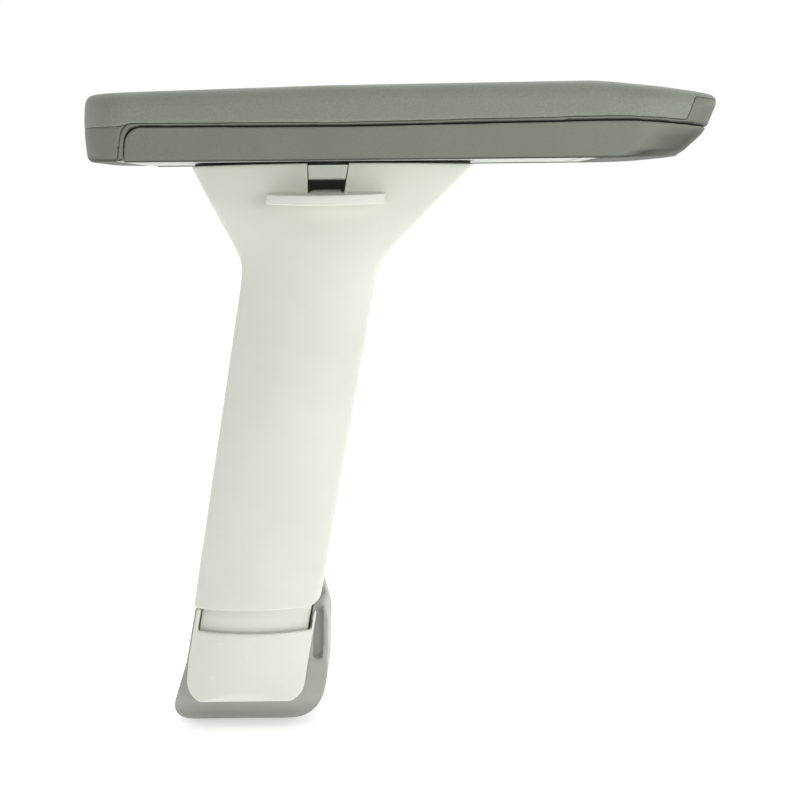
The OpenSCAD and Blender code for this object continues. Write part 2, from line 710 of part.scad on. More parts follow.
seat_bracket();
bracket_cover();
inner_column();
column_bolts();
column_cap();
upright_sleeve();
lower_glide_ring();
head_cap();
cap_screws();
lock_spine();
spine_screws();
lever_pin();
height_paddle();
release_rod();
return_spring();
rod_collar();
lock_bolt();
pivot_stud();
pivot_nut();
glide_plate();
slide_carriage();
friction_washer();
pad_base();
slide_rails();
rail_screws();
slide_bumpers();
pad_tray();
pad_skirt();
pad_insert();
pad_cushion();
pad_screws();
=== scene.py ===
"""Looks for the height-adjustable chair armrest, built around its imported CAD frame.

Sizes are in millimetres in the armrest's own frame and become metres in make_mesh().
The column's middle plane is at Y = -REACH; +X is the front of the chair.
"""
import json
import math

import bmesh
import bpy
import numpy as np
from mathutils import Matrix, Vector


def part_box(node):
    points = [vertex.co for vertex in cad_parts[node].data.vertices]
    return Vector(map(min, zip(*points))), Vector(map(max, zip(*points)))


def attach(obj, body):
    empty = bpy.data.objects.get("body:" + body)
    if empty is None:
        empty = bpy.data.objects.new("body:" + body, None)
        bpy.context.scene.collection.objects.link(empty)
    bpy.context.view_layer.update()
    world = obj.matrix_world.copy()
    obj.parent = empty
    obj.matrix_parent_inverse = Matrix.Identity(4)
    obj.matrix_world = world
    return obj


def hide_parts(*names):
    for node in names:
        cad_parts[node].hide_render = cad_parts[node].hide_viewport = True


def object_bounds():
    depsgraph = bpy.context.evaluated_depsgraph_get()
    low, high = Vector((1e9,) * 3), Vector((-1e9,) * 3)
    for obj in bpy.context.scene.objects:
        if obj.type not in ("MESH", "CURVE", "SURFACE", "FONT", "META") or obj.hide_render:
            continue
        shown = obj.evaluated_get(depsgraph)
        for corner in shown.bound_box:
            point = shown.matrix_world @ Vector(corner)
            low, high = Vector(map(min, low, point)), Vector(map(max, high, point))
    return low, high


MM = 0.001

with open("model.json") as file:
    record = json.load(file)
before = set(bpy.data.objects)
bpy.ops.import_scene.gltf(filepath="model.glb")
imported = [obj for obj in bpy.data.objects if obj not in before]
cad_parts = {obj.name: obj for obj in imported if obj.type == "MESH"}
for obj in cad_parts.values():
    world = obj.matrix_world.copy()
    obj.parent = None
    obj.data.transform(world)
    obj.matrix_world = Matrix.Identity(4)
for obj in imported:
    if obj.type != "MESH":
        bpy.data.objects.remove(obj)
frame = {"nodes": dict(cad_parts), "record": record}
cad_low, cad_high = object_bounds()
nodes = frame["nodes"]


def node_mm(name):
    """A CAD node's lowest and highest corners in millimetres."""
    low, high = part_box(name)
    return low / MM, high / MM


# ---------- driving dimensions, read from the frame where it has them ----------

LEAN = math.radians(10)
REACH = 100.0
sleeve_low, sleeve_high = node_mm("upright_sleeve")
cushion_low = node_mm("pad_cushion")[0]
tray_low, tray_high = node_mm("pad_tray")
base_low = node_mm("pad_base")[0]
DECK_Y = (tray_low.y + tray_high.y) / 2

# The head above the neck, and the leaning tube below it.
HEAD_TOP = sleeve_high.z
HEAD_REAR = -16.0
HEAD_FRONT = 101.0
HEAD_MID = 42.0
HEAD_HALF = 58.0
HEAD_DOME = 0.7
DOME_LOW = 205.0
NECK_Z = 185.2
NECK_HALF = 28.2
SLEEVE_BOTTOM = sleeve_low.z - 0.75
FOOT_HALF = 27.6
FOOT_HALF_RIGHT = 26.8
FOOT_CORNER = 5.0
FOOT_TILT = 0.25
TILT_HIGH = 60.0
TILT_RUN = 20.0

# The outer face: round on the tube up to FACE_LOW, nearly flat on the head from FACE_HIGH.
CROWN_Y = sleeve_low.y
BACK_Y = sleeve_high.y
TUBE_FACE_R = 52.0
HEAD_FACE_R = 240.0
FACE_LOW = 166.0
FACE_HIGH = 214.0

# The wall, its length along X per thickness, its corners and rims, and the paddle's slot.
WALL = 2.0
SLANT = 1.02
FRONT_ROUND = 2.6
BACK_ROUND = 1.6
TOP_RIM = 0.7
LOW_RIM = 0.9
SLOT_LEFT = 32.4
SLOT_LOW = 209.8
SLOT_RIGHT_LOW = 46.6
SLOT_RIGHT_TOP = 52.2
SLOT_OPEN = 240.0


# ---------- mesh helpers ----------

def make_mesh(name, points, faces):
    """A smooth-shaded object from points in millimetres."""
    mesh = bpy.data.meshes.new(name)
    mesh.from_pydata([tuple(c * MM for c in p) for p in points], [], faces)
    mesh.validate()
    mesh.update()
    obj = bpy.data.objects.new(name, mesh)
    bpy.context.scene.collection.objects.link(obj)
    for polygon in mesh.polygons:
        polygon.use_smooth = True
    fix_normals(obj)
    return obj


def fix_normals(obj):
    """Every face looks outwards."""
    bm = bmesh.new()
    bm.from_mesh(obj.data)
    bmesh.ops.recalc_face_normals(bm, faces=bm.faces)
    bm.to_mesh(obj.data)
    bm.free()


def loft(rings, closed=False):
    """Points and faces of a skin over rings of equal length; closed joins the last ring to the first."""
    count = len(rings[0])
    points = [tuple(p) for ring in rings for p in ring]
    faces = []
    spans = len(rings) if closed else len(rings) - 1
    for i in range(spans):
        a, b = i * count, ((i + 1) % len(rings)) * count
        for k in range(count):
            n = (k + 1) % count
            faces.append((a + k, a + n, b + n, b + k))
    if not closed:
        faces.append(tuple(reversed(range(count))))
        faces.append(tuple(range(len(points) - count, len(points))))
    return points, faces


def cutter(name, outline, y0, y1):
    """A prism of an (x, z) outline between two y planes, used once and then removed."""
    count = len(outline)
    points = [(x, y0, z) for x, z in outline] + [(x, y1, z) for x, z in outline]
    faces = [(k, (k + 1) % count, count + (k + 1) % count, count + k) for k in range(count)]
    faces += [tuple(reversed(range(count))), tuple(range(count, 2 * count))]
    return make_mesh(name, points, faces)


def apply_modifiers(obj):
    """The object's mesh becomes what its modifiers make of it."""
    graph = bpy.context.evaluated_depsgraph_get()
    made = bpy.data.meshes.new_from_object(obj.evaluated_get(graph), depsgraph=graph)
    obj.modifiers.clear()
    old = obj.data
    obj.data = made
    bpy.data.meshes.remove(old)


def combine(obj, tool, operation):
    """A boolean with a helper form, which is then removed."""
    modifier = obj.modifiers.new(operation.lower(), "BOOLEAN")
    modifier.operation = operation
    modifier.solver = "EXACT"
    modifier.object = tool
    apply_modifiers(obj)
    bpy.data.objects.remove(tool)


def subtract(obj, tool):
    combine(obj, tool, "DIFFERENCE")


def cut(obj, outline, operation, y0=-400.0, y1=300.0):
    """Keeps or removes what lies inside a front-view outline."""
    combine(obj, cutter("tool", outline, y0, y1), operation)


def soften(obj, voxel, rounds):
    """Evens the mesh out and rounds its edges by about a voxel."""
    remesh = obj.modifiers.new("even", "REMESH")
    remesh.mode = "VOXEL"
    remesh.voxel_size = voxel * MM
    remesh.use_smooth_shade = True
    smooth = obj.modifiers.new("round", "SMOOTH")
    smooth.factor = 0.5
    smooth.iterations = rounds


def ease(t):
    t = min(1.0, max(0.0, t))
    return t * t * (3 - 2 * t)


def mix(a, b, t):
    return a + (b - a) * t


def softplus(d, width):
    """A bend between slope 0 and slope 1 that is round over about 4 widths."""
    if d / width > 30:
        return d
    return width * math.log1p(math.exp(d / width))


def fillet(before, at, after, count):
    """A round corner from before to after."""
    pts = []
    for i in range(count + 1):
        t = i / count
        pts.append(tuple((1 - t) ** 2 * b + 2 * t * (1 - t) * m + t * t * a
                         for b, m, a in zip(before, at, after)))
    return pts


# ---------- materials ----------

def srgb(r, g, b):
    """A linear colour from display values of 0 to 255."""
    parts = [c / 255 for c in (r, g, b)]
    return tuple(((p + 0.055) / 1.055) ** 2.4 if p > 0.04 else p / 12.92 for p in parts) + (1.0,)


class Nodes:
    """Short hand for building one material's node tree."""

    def __init__(self, name, roughness, metallic=0.0):
        self.material = bpy.data.materials.new(name)
        self.material.use_nodes = True
        self.tree = self.material.node_tree
        self.shader = self.tree.nodes["Principled BSDF"]
        self.shader.inputs["Roughness"].default_value = roughness
        self.shader.inputs["Metallic"].default_value = metallic
        self.place = self.add("ShaderNodeTexCoord").outputs["Object"]
        self.last_normal = None

    def add(self, kind, **settings):
        node = self.tree.nodes.new(kind)
        for key, value in settings.items():
            setattr(node, key, value)
        return node

    def link(self, source, target):
        self.tree.links.new(source, target)

    def noise(self, scale, detail=4.0, roughness=0.55, stretch=None):
        """Noise whose scale is in features per metre."""
        node = self.add("ShaderNodeTexNoise")
        node.inputs["Scale"].default_value = scale
        node.inputs["Detail"].default_value = detail
        node.inputs["Roughness"].default_value = roughness
        place = self.place
        if stretch:
            mapping = self.add("ShaderNodeMapping")
            mapping.inputs["Scale"].default_value = stretch
            self.link(place, mapping.inputs["Vector"])
            place = mapping.outputs["Vector"]
        self.link(place, node.inputs["Vector"])
        return node.outputs["Fac"]

    def cells(self, scale, feature="F1"):
        node = self.add("ShaderNodeTexVoronoi", feature=feature)
        node.inputs["Scale"].default_value = scale
        self.link(self.place, node.inputs["Vector"])
        return node.outputs["Distance"]

    def spread(self, value, low, high, to_low, to_high):
        node = self.add("ShaderNodeMapRange")
        for key, number in (("From Min", low), ("From Max", high), ("To Min", to_low), ("To Max", to_high)):
            node.inputs[key].default_value = number
        self.link(value, node.inputs["Value"])
        return node.outputs["Result"]

    def blend(self, factor, first, second):
        """A colour between two, each a constant or another colour output."""
        node = self.add("ShaderNodeMix", data_type="RGBA")
        self.link(factor, node.inputs[0])
        for socket, colour in ((node.inputs[6], first), (node.inputs[7], second)):
            if isinstance(colour, tuple):
                socket.default_value = colour
            else:
                self.link(colour, socket)
        return node.outputs[2]

    def bump(self, height, distance, strength=1.0):
        node = self.add("ShaderNodeBump")
        node.inputs["Strength"].default_value = strength
        node.inputs["Distance"].default_value = distance * MM
        self.link(height, node.inputs["Height"])
        if self.last_normal:
            self.link(self.last_normal, node.inputs["Normal"])
        self.last_normal = node.outputs["Normal"]
        self.link(self.last_normal, self.shader.inputs["Normal"])

    def painted_underside_shade(self, most):
        """Up to most on faces that look down, 0 elsewhere: the mask for painted shade on undersides."""
        split = self.add("ShaderNodeSeparateXYZ")
        self.link(self.add("ShaderNodeNewGeometry").outputs["Normal"], split.inputs["Vector"])
        return self.spread(split.outputs["Z"], -0.12, -0.6, 0.0, most)

    def edges(self, low, high):
        """1 on worn outer edges, 0 elsewhere."""
        pointiness = self.add("ShaderNodeNewGeometry").outputs["Pointiness"]
        return self.spread(pointiness, low, high, 0.0, 1.0)


def white_plastic():
    """Off-white moulded plastic: a fine grain, faint mottling, specks and worn edges."""
    n = Nodes("white_plastic", 0.42)
    mottled = n.blend(n.spread(n.noise(28, 5), 0.3, 0.7, 0.0, 1.0), srgb(219, 223, 211), srgb(225, 229, 218))
    speck = n.spread(n.noise(900, 2), 0.70, 0.76, 0.0, 0.35)
    colour = n.blend(speck, mottled, srgb(206, 209, 196))
    worn = n.blend(n.edges(0.56, 0.70), colour, srgb(238, 241, 233))
    n.link(worn, n.shader.inputs["Base Color"])
    n.link(n.spread(n.noise(60, 6), 0.3, 0.7, 0.36, 0.50), n.shader.inputs["Roughness"])
    n.bump(n.noise(2600, 3, 0.6), 0.012)
    n.bump(n.noise(110, 3), 0.05)
    return n.material


def foam_skin():
    """Grey integral-skin foam: a matte pebble grain and slightly polished high spots."""
    n = Nodes("foam_skin", 0.62)
    base = n.blend(n.spread(n.noise(22, 5), 0.3, 0.7, 0.0, 1.0), srgb(134, 140, 128), srgb(142, 148, 136))
    grain = n.spread(n.noise(1500, 4, 0.65), 0.36, 0.64, 0.0, 1.0)
    colour = n.blend(grain, srgb(128, 132, 122), base)
    n.link(colour, n.shader.inputs["Base Color"])
    n.link(n.spread(n.noise(45, 5), 0.3, 0.7, 0.54, 0.68), n.shader.inputs["Roughness"])
    n.bump(n.cells(850), 0.05, 0.8)
    n.bump(n.noise(2200, 4, 0.65), 0.04)
    n.bump(n.noise(70, 3), 0.12)
    return n.material


def grey_shell():
    """Grey moulded plastic with a fine even grain, a little darker than the skin."""
    n = Nodes("grey_shell", 0.55)
    n.shader.inputs["Specular IOR Level"].default_value = 0.2
    base = n.blend(n.spread(n.noise(30, 5), 0.3, 0.7, 0.0, 1.0), srgb(126, 130, 118), srgb(133, 137, 125))
    grain = n.spread(n.noise(1900, 3, 0.6), 0.36, 0.64, 0.0, 1.0)
    grained = n.blend(grain, srgb(122, 126, 115), base)
    # Faces that look down are mixed towards near black: painted shade under the pad's lower edges.
    n.link(n.blend(n.painted_underside_shade(0.9), grained, srgb(52, 54, 48)), n.shader.inputs["Base Color"])
    n.link(n.spread(n.noise(80, 5), 0.3, 0.7, 0.48, 0.60), n.shader.inputs["Roughness"])
    n.bump(n.noise(2400, 4, 0.6), 0.035)
    n.bump(n.noise(90, 3), 0.06)
    return n.material


def cast_paint():
    """Satin powder coat over a casting: fine orange peel and bright worn edges."""
    n = Nodes("cast_paint", 0.45)
    base = n.blend(n.spread(n.noise(18, 6), 0.3, 0.7, 0.0, 1.0), srgb(161, 164, 156), srgb(171, 174, 166))
    # Faces that look down are mixed towards dark grey: painted shade on the bracket's underside.
    base = n.blend(n.painted_underside_shade(0.5), base, srgb(96, 97, 88))
    worn = n.blend(n.edges(0.54, 0.66), base, srgb(190, 192, 186))
    n.link(worn, n.shader.inputs["Base Color"])
    n.link(n.spread(n.noise(120, 5), 0.3, 0.7, 0.38, 0.52), n.shader.inputs["Roughness"])
    n.bump(n.cells(520), 0.03, 0.6)
    n.bump(n.noise(95, 4), 0.15)
    return n.material


def plate_plastic():
    """Pale grey plastic of the pad's base plate, with moulding marks."""
    n = Nodes("plate_plastic", 0.5)
    base = n.blend(n.spread(n.noise(35, 4), 0.3, 0.7, 0.0, 1.0), srgb(176, 179, 172), srgb(188, 191, 184))
    n.link(base, n.shader.inputs["Base Color"])
    n.bump(n.noise(1800, 3), 0.02)
    n.bump(n.noise(60, 3, stretch=(1, 6, 1)), 0.06)
    return n.material


def black_plastic():
    """Black acetal of guides and glides, rubbed slightly shiny."""
    n = Nodes("black_plastic", 0.5)
    base = n.blend(n.spread(n.noise(60, 5), 0.3, 0.7, 0.0, 1.0), srgb(22, 22, 23), srgb(34, 34, 35))
    n.link(base, n.shader.inputs["Base Color"])
    n.link(n.spread(n.noise(150, 5), 0.3, 0.7, 0.35, 0.55), n.shader.inputs["Roughness"])
    n.bump(n.noise(1600, 3), 0.02)
    return n.material


def zinc_steel():
    """Zinc-plated steel: drawn lines and a faint warm and cool mottling."""
    n = Nodes("zinc_steel", 0.32, 1.0)
    base = n.blend(n.spread(n.noise(90, 6), 0.3, 0.7, 0.0, 1.0), srgb(176, 180, 184), srgb(204, 203, 196))
    n.link(base, n.shader.inputs["Base Color"])
    n.link(n.spread(n.noise(260, 5), 0.3, 0.7, 0.24, 0.42), n.shader.inputs["Roughness"])
    n.bump(n.noise(700, 4, stretch=(1, 1, 12)), 0.01)
    return n.material


materials = {
    "white_plastic": white_plastic(),
    "pad_skin": foam_skin(),
    "pad_shell": grey_shell(),
    "bracket_paint": cast_paint(),
    "plate_plastic": plate_plastic(),
    "black_plastic": black_plastic(),
    "steel": zinc_steel(),
}


def dress_frame():
    """Gives every CAD node its material, softer shading and small broken edges."""
    for part in frame["record"]["subparts"]:
        obj = nodes[part["node"]]
        obj.data.materials.clear()
        obj.data.materials.append(materials[part["material_slot"]])
    for name, voxel, rounds in (("height_paddle", 0.4, 4), ("bracket_cover", 0.5, 6),
                                ("seat_bracket", 0.8, 10), ("inner_column", 0.6, 4)):
        soften(nodes[name], voxel, rounds)
    for name in ("pad_base", "glide_plate", "head_cap", "column_cap", "slide_carriage", "slide_rails",
                 "slide_bumpers", "rod_collar", "lower_glide_ring"):
        break_edges(nodes[name], 0.35)
    for name in ("column_bolts", "cap_screws", "spine_screws", "pad_screws", "rail_screws", "pivot_stud",
                 "pivot_nut", "lock_bolt", "lock_spine", "friction_washer"):
        break_edges(nodes[name], 0.2)


def break_edges(obj, width):
    """A narrow round on every sharp edge."""
    weld = obj.modifiers.new("weld", "WELD")
    weld.merge_threshold = 0.01 * MM
    bevel = obj.modifiers.new("edges", "BEVEL")
    bevel.width = width * MM
    bevel.segments = 2
    bevel.limit_method = "ANGLE"
    bevel.angle_limit = math.radians(40)
    bevel.use_clamp_overlap = True
    bevel.harden_normals = True


def finish_piece(obj, body, slot, stands_for):
    """Colour, body and CAD node of a piece that is done."""
    obj.data.materials.clear()
    obj.data.materials.append(materials[slot])
    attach(obj, body)
    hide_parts(stands_for)


# ---------- upright ----------

def side_x(z, left):
    """The head's flank above the neck and the leaning tube's side below it."""
    axis = z * math.tan(LEAN)
    rise = (z - SLEEVE_BOTTOM) / (NECK_Z - SLEEVE_BOTTOM)
    half = mix(FOOT_HALF if left else FOOT_HALF_RIGHT, NECK_HALF, rise)
    neck_x = NECK_Z * math.tan(LEAN)
    tube_slope = math.tan(LEAN)
    if left:
        flank_slope = (HEAD_REAR - (neck_x - NECK_HALF)) / (HEAD_TOP - NECK_Z)
        return axis - half + (flank_slope - tube_slope) * softplus(z - NECK_Z, 2.2)
    flank_slope = (HEAD_FRONT - (neck_x + NECK_HALF)) / (HEAD_TOP - NECK_Z)
    x = axis + half + (flank_slope - tube_slope) * softplus(z - NECK_Z, 2.6)
    low = FOOT_CORNER - (z - SLEEVE_BOTTOM)
    return x - (FOOT_CORNER - math.sqrt(max(0.0, FOOT_CORNER ** 2 - low * low)) if low > 0 else 0.0)


def face_y(x, z, inset):
    """The upright's outer face: tightly curved on the tube, nearly flat on the head."""
    t = ease((z - FACE_LOW) / (FACE_HIGH - FACE_LOW))
    middle = mix(z * math.tan(LEAN), HEAD_MID, t)
    bend = mix(1 / TUBE_FACE_R, 1 / HEAD_FACE_R, t)
    reach = min(0.98, abs(bend * (x - middle)))
    return CROWN_Y + inset + (1 - math.sqrt(1 - reach * reach)) / bend


def upright_ring(z, inset=0.0, f=FRONT_ROUND, b=BACK_ROUND):
    """A section of the upright, with corners of size f in front and b behind."""
    left = side_x(z, True) + inset * SLANT
    right = side_x(z, False) - inset * SLANT
    back = BACK_Y - inset
    pts = [(x, face_y(x, z, inset)) for x in np.linspace(left + f, right - f, 56)]
    corner_r = (right, face_y(right, z, inset))
    corner_l = (left, face_y(left, z, inset))
    pts += fillet(pts[-1], corner_r, (right, corner_r[1] + f), 7)[1:]
    pts += [(right, y) for y in np.linspace(corner_r[1] + f, back - b, 8)[1:]]
    pts += fillet((right, back - b), (right, back), (right - b, back), 5)[1:]
    pts += [(x, back) for x in np.linspace(right - b, left + b, 20)[1:]]
    pts += fillet((left + b, back), (left, back), (left, back - b), 5)[1:]
    pts += [(left, y) for y in np.linspace(back - b, corner_l[1] + f, 8)[1:]]
    pts += fillet((left, corner_l[1] + f), corner_l, pts[0], 7)[1:-1]
    rise = HEAD_DOME * ease((z - DOME_LOW) / (HEAD_TOP - DOME_LOW))
    tilt = FOOT_TILT / FOOT_HALF * ease((TILT_HIGH - z) / TILT_RUN)
    return [(x, y, z + rise * (1 - ((x - HEAD_MID) / HEAD_HALF) ** 2) + tilt * x) for x, y in pts]


def upright():
    """The white sleeve and head in one shell, open below and above, with the paddle's slot."""
    levels = [SLEEVE_BOTTOM + d for d in (LOW_RIM, 1.5, 2.2, 3.0, 3.8, 4.6)]
    levels += list(np.linspace(SLEEVE_BOTTOM + 6, FACE_LOW - 8, 26))
    levels += list(np.linspace(FACE_LOW - 4, HEAD_TOP - 1.2, 46))
    low_rim = [upright_ring(SLEEVE_BOTTOM + LOW_RIM * (1 - math.cos(math.radians(a))),
                            LOW_RIM * (1 - math.sin(math.radians(a)))) for a in (0, 30, 60)]
    top_rim = [upright_ring(HEAD_TOP - TOP_RIM * (1 - math.sin(math.radians(a))),
                            TOP_RIM * (1 - math.cos(math.radians(a)))) for a in (30, 60, 90)]
    outer = low_rim + [upright_ring(z) for z in levels] + top_rim
    inner = [upright_ring(z, WALL, 1.8, 1.0) for z in [HEAD_TOP] + levels[::-1] + [SLEEVE_BOTTOM]]
    points, faces = loft(outer + inner, closed=True)
    obj = make_mesh("upright_shell", points, faces)
    cut(obj, [(SLOT_LEFT, SLOT_OPEN), (SLOT_LEFT, SLOT_LOW), (SLOT_RIGHT_LOW, SLOT_LOW),
              (SLOT_RIGHT_TOP, SLOT_OPEN)], "DIFFERENCE", -REACH - 30, -REACH - 10)
    shade(obj, 40)
    finish_piece(obj, "upright", "white_plastic", "upright_sleeve")


def shade(obj, degrees):
    """Smooth shading that keeps edges sharper than an angle."""
    obj.data.polygons.foreach_set("use_smooth", [True] * len(obj.data.polygons))
    obj.data.set_sharp_from_angle(angle=math.radians(degrees))


# ---------- pad ----------

def arc_outline(corners, steps=24):
    """An outline from (x, y, radius) corners, each rounded by an arc."""
    pts = []
    count = len(corners)
    for i, (x, y, radius) in enumerate(corners):
        at = Vector((x, y))
        if radius == 0:
            pts.append((x, y))
            continue
        before = (Vector(corners[i - 1][:2]) - at).normalized()
        after = (Vector(corners[(i + 1) % count][:2]) - at).normalized()
        half = before.angle(after) / 2
        centre = at + (before + after).normalized() * radius / math.sin(half)
        start = at + before * radius / math.tan(half) - centre
        stop = at + after * radius / math.tan(half) - centre
        first = math.atan2(start.y, start.x)
        turn = (math.atan2(stop.y, stop.x) - first + 3 * math.pi) % (2 * math.pi) - math.pi
        pts += [(centre.x + radius * math.cos(first + turn * k / steps),
                 centre.y + radius * math.sin(first + turn * k / steps)) for k in range(steps + 1)]
    return pts


def even(outline, count):
    """The same closed outline with evenly spaced points."""
    pts = np.array(outline + outline[:1])
    along = np.concatenate([[0], np.cumsum(np.hypot(*np.diff(pts, axis=0).T))])
    at = np.linspace(0, along[-1], count, endpoint=False)
    return np.stack([np.interp(at, along, pts[:, 0]), np.interp(at, along, pts[:, 1])], axis=1)


PLAN_HALF = (tray_high.y - tray_low.y) / 2
PAD_Z = base_low.z
PAD_REAR = cushion_low.x - 1.5
PAD_TIP = tray_high.x - 1.2
GROOVE_Z = PAD_Z + 13.6
SKIRT_REAR = -38.0
SKIRT_T = 2.4
SKIRT_DROP = 0.75
CUSHION_CROWN = 0.7
EDGE_DIP = 0.1
FIT = 0.1

# Radii along the pad's upper and lower edges, at its sides and at its ends.
TOP_R_SIDE = 7.0
TOP_R_END = 3.2
LOW_R_SIDE = 0.9
LOW_R_REAR = 2.6
LOW_R_TIP = 1.4

# The nose leans back along nose_line from NOSE_FROM on, the rear bows a little, the sides taper.
NOSE_FROM = 110.0
NOSE_HIGH = 249.0
REAR_FROM = 20.0
REAR_RUN = 75.0
BOW_Z = 240.0
BOW_HALF = 13.0
WIDEST_Z = 243.0
SIDE_TAPER = 0.0007

# The tray's walls, its deck, the well for the screws and the seat of the base plate.
TRAY_WALL = 2.6
TRAY_FLOOR = 2.4
TRAY_DECK = PAD_Z + 12.8
WELL_REAR = -38.0
WELL_FRONT = 147.0
WELL_HALF = 36.5
SEAT_REAR = -41.2
SEAT_FRONT = 150.2
SEAT_DEPTH = 3.2

pad_plan = even(arc_outline([
    (PAD_REAR, -PLAN_HALF + 1.5, 20), (60, -PLAN_HALF - 0.6, 300), (PAD_TIP - 26, -PLAN_HALF + 2, 34),
    (PAD_TIP + 0.5, -24, 24), (PAD_TIP + 0.5, 24, 24), (PAD_TIP - 26, PLAN_HALF - 2, 34),
    (60, PLAN_HALF + 0.6, 300), (PAD_REAR, PLAN_HALF - 1.5, 20)]), 430)
top_line = arc_outline([(PAD_REAR - 20, 253.2, 0), (40, 255.8, 400), (148, 256.8, 100),
                        (PAD_TIP + 20, 249.8, 0), (PAD_TIP, 200, 0)])[:-1]
nose_line = [p for p in arc_outline([(150, PAD_Z, 0), (166, PAD_Z, 30), (184.8, 228.6, 6), (194.4, 237.2, 12),
                                     (PAD_TIP - 0.4, 248.0, 2.5), (PAD_TIP - 0.9, 262, 0), (150, 262, 0)])
             if p[0] > 150.5]
nose_z = [z for x, z in nose_line]
nose_x = [x for x, z in nose_line]


def pad_top(x):
    return float(np.interp(x, [p[0] for p in top_line], [p[1] for p in top_line]))


def plan_normal(index):
    """The outward direction of the pad's outline at one of its points."""
    before, after = pad_plan[index - 1], pad_plan[(index + 1) % len(pad_plan)]
    run = Vector((after[0] - before[0], after[1] - before[1])).normalized()
    return run.y, -run.x


def pad_point(index, inset, level=None, lift=0.0):
    """A point of the pad's skin.

    On the side, level goes from 0 at the lower edge's round to 1 at the upper edge's. On those
    rounds, lift is the skin's angle in degrees, below 0 on the lower one.
    """
    x, y = pad_plan[index]
    normal = plan_normal(index)
    end = abs(normal[0]) ** 3
    top_r = mix(TOP_R_SIDE, TOP_R_END, end)
    low_r = mix(LOW_R_SIDE, LOW_R_REAR if x < 0 else LOW_R_TIP, end)
    angle = math.radians(lift)
    inward = inset
    if level is None:
        inward += (top_r if lift > 0 else low_r) * (1 - math.cos(angle))
    x, y = x - normal[0] * inward, y - normal[1] * inward
    high = pad_top(x) - inset
    low = PAD_Z + inset
    if level is not None:
        z = mix(low + low_r, high - top_r, level)
    elif lift > 0:
        z = high - top_r * (1 - math.sin(angle))
    else:
        z = low + low_r * (1 + math.sin(angle))
    tip = float(np.interp(z + inset * 0.4, nose_z, nose_x)) if z < NOSE_HIGH else PAD_TIP
    if x > NOSE_FROM:
        x -= (PAD_TIP - tip) * ((x - NOSE_FROM) / (PAD_TIP - NOSE_FROM)) ** 2
    if x < REAR_FROM:
        x += ((z - BOW_Z) / BOW_HALF) ** 2 * ((REAR_FROM - x) / REAR_RUN) ** 3
    y *= 1 - SIDE_TAPER * abs(z - WIDEST_Z)
    return x, y, z


def pad_body(name, inset=0.0, drop=0.0):
    """The whole pad as one closed form, or with an inset the form inside it; drop lowers its underside."""
    index = range(len(pad_plan))
    rings = [[(x, y, z - drop) for x, y, z in (pad_point(i, inset, None, -a) for i in index)]
             for a in (90, 70, 50, 32, 15)]
    rings += [[pad_point(i, inset, t) for i in index] for t in np.linspace(0, 1, 16)]
    rings += [[pad_point(i, inset, None, a) for i in index] for a in np.linspace(9, 90, 10)]
    edge = rings[-1]
    for share in (0.08, 0.2, 0.35, 0.5, 0.65, 0.8, 0.92, 0.97):
        ring = []
        for x, y, z in edge:
            spine = min(max(x, PAD_REAR + 44), PAD_TIP - 44)
            x, y = mix(x, spine, share), mix(y, 0.0, share)
            crown = CUSHION_CROWN * (1 - (y / PLAN_HALF) ** 2)
            ring.append((x, y, pad_top(x) - inset + crown - EDGE_DIP))
        rings.append(ring)
    points, faces = loft([[(x, y + DECK_Y, z) for x, y, z in ring] for ring in rings])
    return make_mesh(name, points, faces)


def join(obj, other):
    """The other object's mesh is added to the object's own."""
    bm = bmesh.new()
    bm.from_mesh(obj.data)
    bm.from_mesh(other.data)
    bm.to_mesh(obj.data)
    bm.free()
    bpy.data.objects.remove(other)


def box_form(name, low, high):
    """A closed block between two corners."""
    return cutter(name, [(low[0], low[2]), (high[0], low[2]), (high[0], high[2]), (low[0], high[2])],
                  low[1], high[1])


def plan_form(name, inset, z0, z1, x1):
    """A block of the pad's plan between two levels, back of x1."""
    outline = []
    for i, (x, y) in enumerate(pad_plan):
        nx, ny = plan_normal(i)
        outline.append((min(x - nx * inset, x1), y - ny * inset + DECK_Y))
    points, faces = loft([[(x, y, z) for x, y in outline] for z in (z0, z1)])
    return make_mesh(name, points, faces)


cushion_region = arc_outline([
    (PAD_REAR - 5, 270, 0), (PAD_REAR - 5, 240.5, 0), (-39.0, 240.5, 8), (-34.5, 241.7, 12),
    (45, 241.1, 200), (156, 242.8, 200), (183.8, 241.4, 0), (187.6, 250.4, 0.6), (210, 248.7, 0),
    (210, 270, 0)], 8)
rear_region = arc_outline([
    (-90, 215, 0), (-42.5, 215, 0), (-38.0, 242.0, 6.5), (-28, 242.4, 0), (-28, 246, 0), (-90, 246, 0)], 8)


def skirt_region(inset):
    """The front-view outline of the skirt, with its rear and upper edges moved inwards by inset."""
    return arc_outline([
        (SKIRT_REAR - 1.0 + inset, 220, 0), (SKIRT_REAR + 0.9 + inset, GROOVE_Z - inset, 7 - inset),
        (50, GROOVE_Z - 0.6 - inset, 300), (160, GROOVE_Z + 0.9 - inset, 250),
        (212, GROOVE_Z - 2.4 - inset, 0), (212, 220, 0)], 12)


